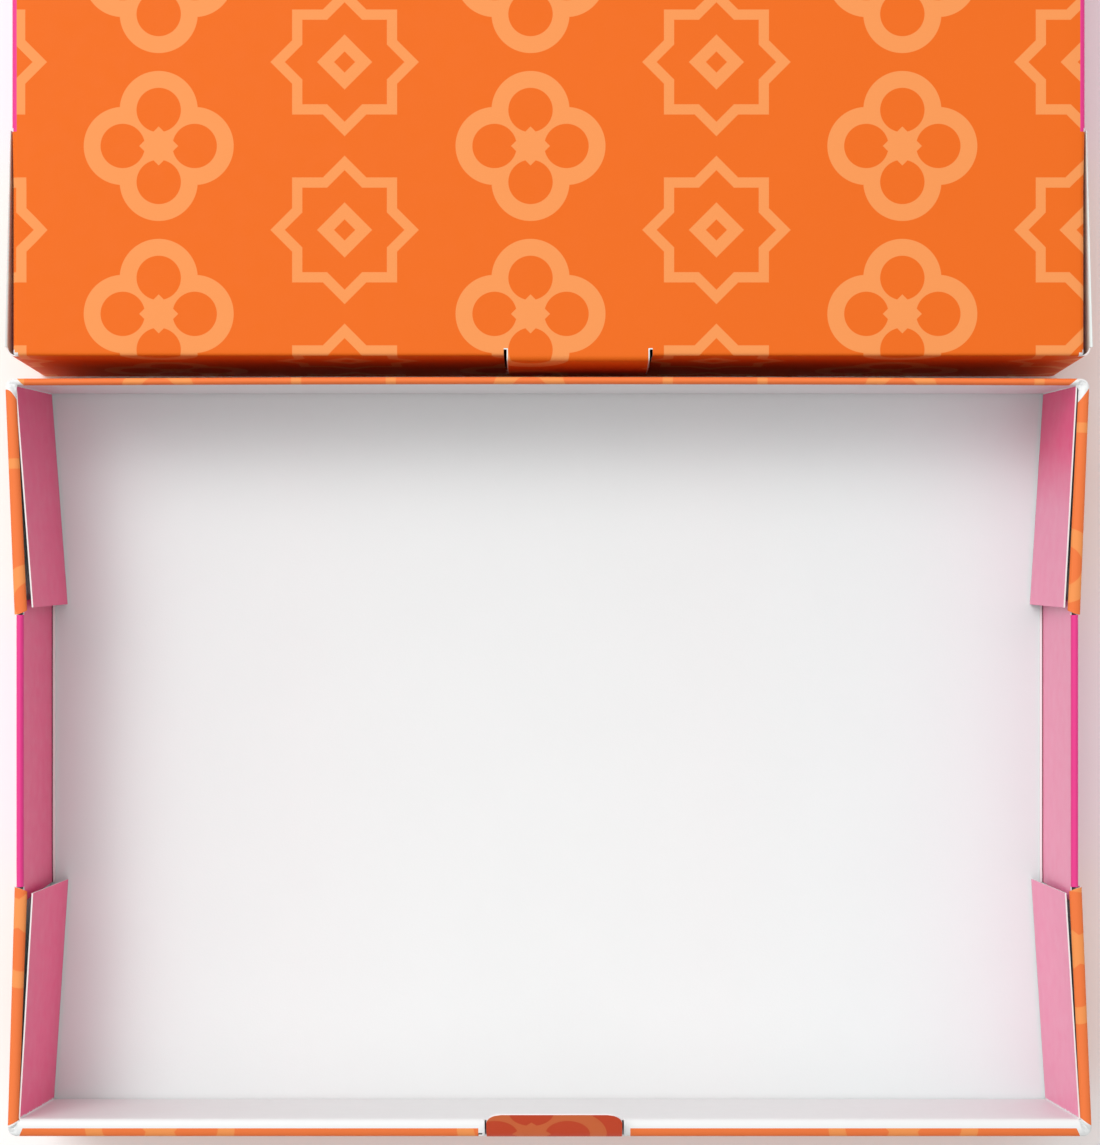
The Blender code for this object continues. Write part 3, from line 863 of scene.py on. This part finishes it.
# ---------------------------------------------------------------------------------------------------
# The lid's top: one printed panel with soft folds at its front and back and rounder ones at its sides,
# magenta between the flaps. It is nicked beside the lock tab, and the ink is off along the nicks.
LID_LONG = 0.3582
LID_DEEP = 0.255
LID_TALL = 0.060
LID_BEHIND = 0.0075  # from the base's back wall to the lid
LID_MID = 0.0004  # how far right of the base's middle it lies
LID_FLAP = 0.075
LID_CREASE = 0.0008
LID_SIDE_CREASE = 0.0015
LID_X = LID_LONG / 2 - HALF
LID_BACK = BASE_DEEP / 2 + LID_BEHIND + LID_DEEP - HALF
LID_FRONT = LID_BACK - LID_DEEP + BOARD + 0.0001
LID_TOP = LID_TALL - HALF
LOCK_MID = 0.0099
LOCK_WIDE = 0.0477
NOTCH = 0.0010
NOTCH_DEEP = 0.0018
BARE_EDGE = 0.0004  # how far the ink is off beside a nick
CHIP_FROM, CHIP_TO = 0.0745, 0.0757  # where the ink is chipped off the side folds, from the lid's front

lid_sheet = new_sheet()
lid_right = LID_X - LID_SIDE_CREASE
lock_left, lock_right = LOCK_MID - LOCK_WIDE / 2, LOCK_MID + LOCK_WIDE / 2
lid_across = joined(
    steps(-lid_right, lock_left - NOTCH, 26),
    [lock_left - NOTCH, lock_left, lock_left + BARE_EDGE],
    steps(lock_left + BARE_EDGE, lock_right - BARE_EDGE, 10),
    [lock_right - BARE_EDGE, lock_right, lock_right + NOTCH],
    steps(lock_right + NOTCH, lid_right, 22),
)
fold_front, fold_back = LID_FRONT + LID_CREASE, LID_BACK - LID_CREASE
lid_along = joined(
    [fold_front, LID_FRONT + NOTCH_DEEP, LID_FRONT + NOTCH_DEEP + BARE_EDGE],
    steps(LID_FRONT + NOTCH_DEEP + BARE_EDGE, LID_FRONT + CHIP_FROM, 12),
    [LID_FRONT + CHIP_FROM, LID_FRONT + CHIP_TO],
    steps(LID_FRONT + CHIP_TO, LID_BACK - LID_FLAP, 14),
    steps(LID_BACK - LID_FLAP, fold_back, 12),
)


def in_lock(j, spare):
    """Whether column j of the lid lies behind the tab, or within that much of it."""
    return within(lid_across, j, lock_left - spare, lock_right + spare)


def beside_lock(j):
    return in_lock(j, NOTCH) and not in_lock(j, 0.0)


def top_finish(i, j):
    if i == 0 and beside_lock(j):
        return None
    bare = in_lock(j, NOTCH) and not in_lock(j, -BARE_EDGE)
    return WHITE if bare and i < 2 else ORANGE


lay(
    lid_sheet,
    [[Vector((x, y, LID_TOP)) for x in lid_across] for y in lid_along],
    [[(x, y) for x in lid_across] for y in lid_along],
    top_finish,
)


def lid_corner(right, front):
    """The small rounded corner where three folds meet, its ink cracked white."""
    x0, y0 = right * lid_right, fold_front if front else fold_back
    out = -1 if front else 1
    rows, flat = [], []
    for theta in steps(0.0, math.pi / 2, 4):
        row = []
        for phi in steps(0.0, math.pi / 2, 4):
            drop = LID_CREASE + (LID_SIDE_CREASE - LID_CREASE) * math.sin(phi) ** 2
            x = x0 + right * LID_SIDE_CREASE * math.sin(theta) * math.sin(phi)
            y = y0 + out * LID_CREASE * math.sin(theta) * math.cos(phi)
            row.append(Vector((x, y, LID_TOP - drop * (1 - math.cos(theta)))))
        rows.append(row)
        flat.append([(p.x, p.y) for p in row])
    lay(lid_sheet, rows, flat, WHITE)


for right in (-1, 1):
    lid_corner(right, True)
    lid_corner(right, False)

# ---------------------------------------------------------------------------------------------------
# The lid's walls: front and back printed orange, sides magenta, cut off plainly at the bottom. The
# front and back walls run on round the corners as flaps outside the side walls. The flaps' top edges
# are soft and curl out, so their white inner side shows. Cuts run down the front wall beside the tab.
LID_FLAP_OUT = 0.1810
LID_FLAP_IN = 0.1797
LID_FLAP_TOP = LID_TOP - 0.0022
LID_ROUND = 0.0027
LID_FOLDS = 7  # columns in a flap's fold
LID_CURL_OUT = 0.0008
LID_CURL_END = 0.0002
LID_CURL_UP = 0.0007
LOCK_DOWN = 0.038
LOCK_SLIT = 0.0036
LOCK_BRIDGE = 0.004
SIDE_FOLDS = 6  # rows in a side wall's fold; the ink is chipped over its lower half

slit_top, slit_low = LID_TOP - LOCK_DOWN, LID_TOP - LOCK_DOWN - LOCK_SLIT
slot_low = slit_top + LOCK_BRIDGE


def lid_end_wall(wall, back, lock):
    """The wall at that depth, facing back (1) or front (-1), and its two flaps."""
    fold = arc(LID_CREASE, math.pi / 2, 4)
    near = wall - back * LID_CREASE
    rows = [[Vector((x, near + back * f, LID_TOP - s)) for x in lid_across] for f, s, _ in fold]
    flat = [[(x, near + back * run) for x in lid_across] for _, _, run in fold]
    lay(lid_sheet, rows, flat, lambda i, j: None if lock and in_lock(j, NOTCH) else ORANGE)
    below = near + back * fold[-1][2]
    high = LID_TOP - LID_CREASE
    edge = LID_FLAP_OUT - LID_ROUND
    turn = math.pi / 2 + math.atan2(LID_FLAP_OUT - LID_FLAP_IN, LID_FLAP - LID_ROUND)
    path = fold_and_run(LID_ROUND, turn, (LID_FLAP - LID_ROUND) / math.sin(turn), LID_FOLDS, 12)
    heights = joined(
        [high, LID_FLAP_TOP],
        steps(LID_FLAP_TOP, slot_low, 4),
        [slot_low, slit_top, slit_low],
        steps(slit_low, 0.0, 3),
    )
    rows, flat = [], []
    for z in heights:
        v = below + back * (high - z)
        row = [Vector((x, wall, z)) for x in (-edge, *lid_across, edge)]
        row_flat = [(x, v) for x in (-edge, *lid_across, edge)]
        for f, s, run in path[1:]:
            row.insert(0, Vector((-edge - f, wall - back * s, z)))
            row.append(Vector((edge + f, wall - back * s, z)))
            row_flat.insert(0, (-edge - run, v))
            row_flat.append((edge + run, v))
        rows.append(row)
        flat.append(row_flat)
    count = len(path)

    def finish(i, j):
        column = j - count
        outside = column < 0 or column > len(lid_across) - 2
        if outside:
            return None if i == 0 else ORANGE
        if lock and in_lock(column, NOTCH):
            if heights[i] == slit_top or i == 0:
                return None
            if beside_lock(column) and heights[i] > slot_low + SLACK:
                return None
        return ORANGE

    lay(lid_sheet, rows, flat, finish)
    # the curled top edges of the two flaps
    flap = len(path) - 1 - LID_FOLDS
    wide = len(rows[1])
    for side, columns in ((-1, range(flap, -1, -1)), (1, range(wide - 1 - flap, wide))):
        tops = [rows[1][j] for j in columns]
        outs = [LID_CURL_OUT + (LID_CURL_END - LID_CURL_OUT) * k / flap for k in range(flap + 1)]
        curls, curls_flat = [], []
        for share in steps(0.0, 1.0, 3):
            up = LID_CURL_UP * math.sin(share * math.pi / 2)
            sway = side * (1 - math.cos(share * math.pi / 2))
            curls.append([p + Vector((sway * out, 0, up)) for p, out in zip(tops, outs)])
            curls_flat.append([(flat[1][j][0], flat[1][j][1] - back * LID_CURL_UP * share) for j in columns])
        lay(lid_sheet, curls, curls_flat, ORANGE)


lid_end_wall(LID_FRONT, -1, True)
lid_end_wall(LID_BACK, 1, False)


def lid_side_wall(right):
    x = right * LID_X
    fold = arc(LID_SIDE_CREASE, math.pi / 2, SIDE_FOLDS)
    low = steps(LID_TOP - LID_SIDE_CREASE, 0.0, 8)[1:]
    near = right * lid_right
    rows = [[Vector((near + right * f, y, LID_TOP - s)) for y in lid_along] for f, s, _ in fold]
    rows += [[Vector((x, y, z)) for y in lid_along] for z in low]
    runs = [run for _, _, run in fold] + [fold[-1][2] + LID_TOP - LID_SIDE_CREASE - z for z in low]
    flat = [[(right * (lid_right + run), y) for y in lid_along] for run in runs]

    def finish(i, j):
        end_of_flap = within(lid_along, j, LID_FRONT + CHIP_FROM, LID_FRONT + CHIP_TO)
        if SIDE_FOLDS / 2 <= i < SIDE_FOLDS and (j == 0 or end_of_flap):
            return WHITE
        beside_front = within(lid_along, j, fold_front, LID_FRONT + CHIP_FROM)
        beside_back = within(lid_along, j, LID_BACK - LID_FLAP, fold_back)
        return ORANGE if i <= SIDE_FOLDS and (beside_front or beside_back) else MAGENTA

    lay(lid_sheet, rows, flat, finish)


for right in (-1, 1):
    lid_side_wall(right)

# ---------------------------------------------------------------------------------------------------
# The lock tab: runs on from the lid's top between the nicks, over a softer fold, down in front of the
# wall and through the slit, where its sides draw in. Its side edges are bare of ink.
LOCK_PROUD = 0.0017
LOCK_BOW = 0.0013
LOCK_TAPER = 0.005  # how far each side draws in, and the share of it in the slit
LOCK_IN_SLIT = 0.4
LOCK_TIP = 0.009
LOCK_FOLD = 0.0015

slit = LID_TOP - LOCK_DOWN - LOCK_SLIT / 2
tab = [(fold_front, LID_TOP, 0.0)]  # (depth, height, how far the sides draw in) along the tab
for turn in steps(0.0, math.pi / 2, 6):
    y = LID_FRONT - LOCK_PROUD + LOCK_FOLD * (1 - math.sin(turn))
    tab.append((y, LID_TOP - LOCK_FOLD * (1 - math.cos(turn)), 0.0))
for share, z in zip(steps(0.0, 1.0, 10)[1:], steps(tab[-1][1], slit + LOCK_PROUD, 10)[1:]):
    tab.append((LID_FRONT - LOCK_PROUD - LOCK_BOW * math.sin(math.pi * share), z, 0.0))
tab.append((LID_FRONT + LOCK_PROUD, slit - LOCK_PROUD * LOCK_IN_SLIT, LOCK_TAPER * LOCK_IN_SLIT))
tab.append((LID_FRONT + LOCK_PROUD, slit - LOCK_TIP, LOCK_TAPER))
tab_xs = [x for x in lid_across if lock_left - SLACK < x < lock_right + SLACK]
rows, flat = [], []
for (y, z, drawn_in), run in zip(tab, lengths([(y, z) for y, z, _ in tab])):
    scale = 1 - 2 * drawn_in / LOCK_WIDE
    xs = [LOCK_MID + (x - LOCK_MID) * scale for x in tab_xs]
    rows.append([Vector((x, y, z)) for x in xs])
    flat.append([(x, fold_front - run) for x in xs])
lay(lid_sheet, rows, flat, lambda i, j: WHITE if j in (0, len(tab_xs) - 2) else ORANGE)

# ---------------------------------------------------------------------------------------------------
# The lid as one piece. Its front wall splays forward at the foot, and its side walls are pressed in a
# little beside the front flaps.
LID_SPLAY = 0.0026
LID_PINCH = 0.0004
PINCH_FROM = 0.17  # only places further than this from the middle are pressed in
PINCH_FADE = 4  # the press is whole along the front flap but for its last quarter, where it fades
LID_BLANK = 0.018 * MOTIF_RISE  # the unfolded lid lies 18 motifs past the unfolded base, clear of it

for vert in lid_sheet.verts:
    drop = (LID_TOP - vert.co.z) / LID_TOP
    past = (vert.co.y - LID_FRONT) / LID_FLAP
    vert.co.y -= LID_SPLAY * drop * min(1.0, max(0.0, 1 - past))
    if PINCH_FROM < abs(vert.co.x) < LID_X + WELD:
        pinch = LID_PINCH * min(1.0, max(0.0, PINCH_FADE * (1 - past)))
        vert.co.x -= math.copysign(pinch, vert.co.x)
    vert.co.x += LID_MID
lid_blank = lid_sheet.loops.layers.uv["blank"]
for face in lid_sheet.faces:
    for loop in face.loops:
        loop[lid_blank].uv.y += LID_BLANK
lid_middle = Vector((0, (LID_FRONT + LID_BACK) / 2, LID_TOP))
board_piece("lid_board", lid_sheet, "lid", lid_middle, 1)
